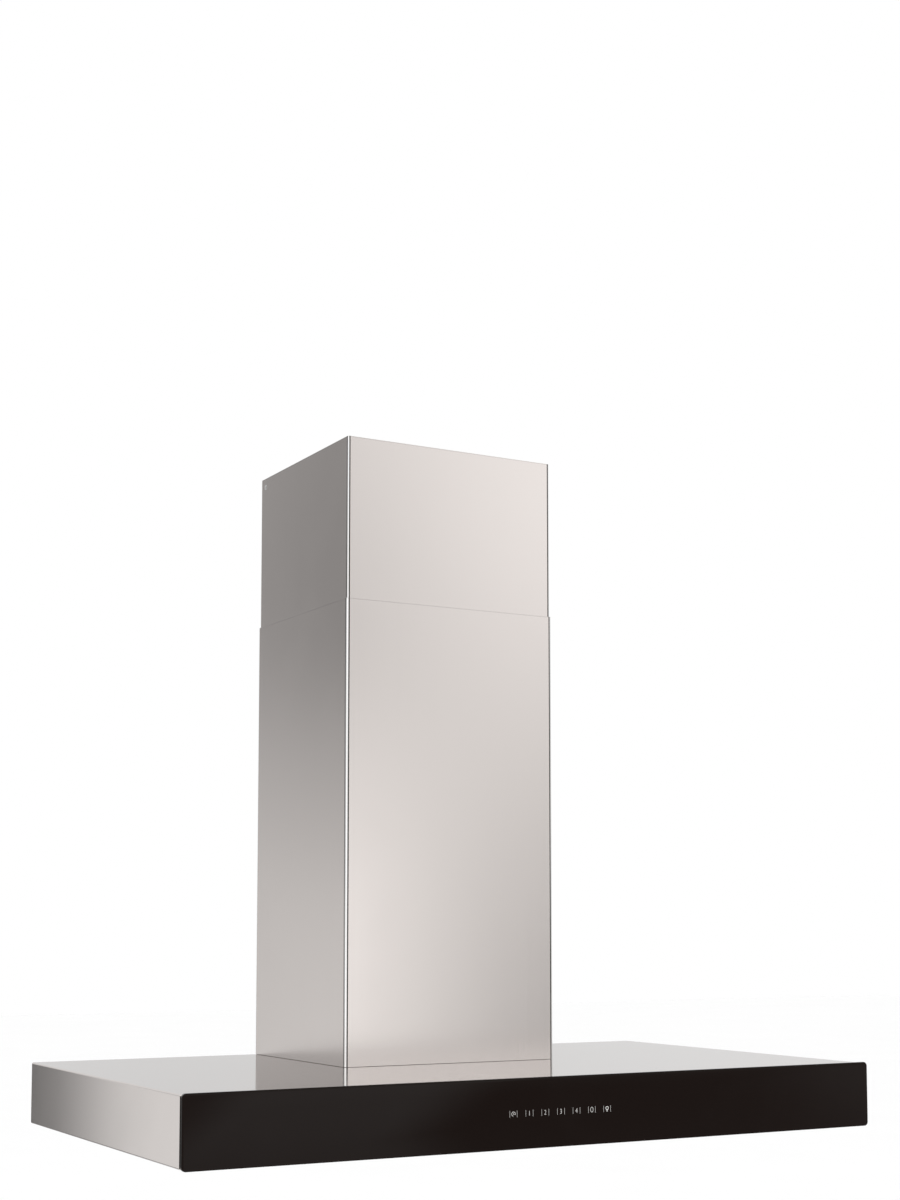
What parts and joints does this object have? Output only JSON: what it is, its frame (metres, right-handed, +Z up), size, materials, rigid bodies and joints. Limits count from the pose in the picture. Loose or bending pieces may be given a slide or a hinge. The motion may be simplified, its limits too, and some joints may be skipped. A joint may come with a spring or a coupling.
{
  "type": "wall chimney range hood",
  "caption": "Wall-mounted kitchen range hood: slim box canopy with a black glass touch front, square telescoping stainless flue, mesh grease filters, lamps and a ducted blower.",
  "frame": {"origin": "middle of the bounding box's underside: half way across, half way between the glass front and the wall, level with the glass panel's lower edge", "axes": "+X along the hood's width, to the right of someone who faces it; +Y towards the wall; +Z up along the flue and out of the duct collar"},
  "size_m": [0.9, 0.52, 0.8503],
  "materials": {
    "stainless": "satin, fine grain",
    "black_glass": "polished, black backed",
    "black_steel": "matt",
    "galvanised": "zinc coated, mottled",
    "zinc_screw": "bright zinc",
    "black_plastic": "moulded, fine texture",
    "grey_plastic": "moulded",
    "white_plastic": "moulded",
    "circuit_board": "solder mask",
    "spring_steel": "bright",
    "motor_steel": "turned and lacquered",
    "filter_aluminium": "natural, satin",
    "capacitor_can": "smooth",
    "rubber": "matt",
    "lamp_bezel": "satin",
    "lamp_lens": "frosted"
  },
  "bodies": {
    "root": {"blower_box": "galvanised", "bottom_panel": "stainless", "bottom_panel_screws": "zinc_screw", "cable_gland": "rubber", "canopy_shell": "stainless", "capacitor": "capacitor_can", "capacitor_clip": "galvanised", "case_screws": "zinc_screw", "control_box": "grey_plastic", "control_box_cover": "grey_plastic", "flap_pins": "spring_steel", "front_glass": "black_glass", "glass_carrier": "black_steel", "lamp_bezel_left": "lamp_bezel", "lamp_bezel_right": "lamp_bezel", "lamp_body_left": "filter_aluminium", "lamp_body_right": "filter_aluminium", "lamp_lens_left": "lamp_lens", "lamp_lens_right": "lamp_lens", "lead_bush": "rubber", "lower_flue_cover": "stainless", "motor_bearings": "motor_steel", "motor_body": "motor_steel", "motor_bracket": "black_steel", "motor_grommets": "rubber", "motor_screws": "zinc_screw", "outlet_collar": "black_plastic", "power_board": "circuit_board", "scroll_half_left": "black_plastic", "scroll_half_right": "black_plastic", "supply_lead": "rubber", "terminal_block": "white_plastic", "terminal_box": "grey_plastic", "terminal_box_cover": "grey_plastic", "touch_board": "circuit_board", "touch_housing": "black_plastic", "touch_lead": "rubber", "touch_springs": "spring_steel", "wall_plate": "galvanised", "wall_plate_screws": "zinc_screw"},
    "upper_flue": {"upper_flue_cover": "stainless", "flue_wall_bracket": "galvanised", "flue_side_screws": "zinc_screw"},
    "fan": {"impeller": "black_plastic", "motor_shaft": "motor_steel"},
    "flap_front": {"flap_front": "grey_plastic"},
    "flap_rear": {"flap_rear": "grey_plastic"},
    "filter_left": {"filter_frame_left": "filter_aluminium", "filter_mesh_left": "filter_aluminium", "filter_pins_left": "spring_steel", "latch_seat_left": "black_plastic", "latch_spring_left": "spring_steel"},
    "latch_left": {"filter_latch_left": "black_plastic"},
    "filter_right": {"filter_frame_right": "filter_aluminium", "filter_mesh_right": "filter_aluminium", "filter_pins_right": "spring_steel", "latch_seat_right": "black_plastic", "latch_spring_right": "spring_steel"},
    "latch_right": {"filter_latch_right": "black_plastic"}
  },
  "joints": [
    {"name": "upper_flue_slide", "type": "slide", "parent": "root", "child": "upper_flue", "axis": [0, 0, 1], "range_m": [-0.2, 0.315]},
    {"name": "fan_spin", "type": "hinge", "parent": "root", "child": "fan", "pos_m": [0, 0.141, 0.1905], "axis": [1, 0, 0], "continuous": true},
    {"name": "flap_front_hinge", "type": "hinge", "parent": "root", "child": "flap_front", "pos_m": [0, 0.137, 0.3785], "axis": [-1, 0, 0], "range_deg": [0, 78]},
    {"name": "flap_rear_hinge", "type": "hinge", "parent": "root", "child": "flap_rear", "pos_m": [0, 0.145, 0.3785], "axis": [1, 0, 0], "range_deg": [0, 78]},
    {"name": "filter_left_drop", "type": "hinge", "parent": "root", "child": "filter_left", "pos_m": [-0.198, 0.16678, 0.007], "axis": [1, 0, 0], "range_deg": [0, 80]},
    {"name": "latch_left_slide", "type": "slide", "parent": "filter_left", "child": "latch_left", "axis": [0, 1, 0], "range_m": [0, 0.006], "stiffness_N_per_m": 300, "springref_m": -0.005, "deforming": ["latch_spring_left"]},
    {"name": "filter_right_drop", "type": "hinge", "parent": "root", "child": "filter_right", "pos_m": [0.198, 0.16678, 0.007], "axis": [1, 0, 0], "range_deg": [0, 80]},
    {"name": "latch_right_slide", "type": "slide", "parent": "filter_right", "child": "latch_right", "axis": [0, 1, 0], "range_m": [0, 0.006], "stiffness_N_per_m": 300, "springref_m": -0.005, "deforming": ["latch_spring_right"]}
  ]
}
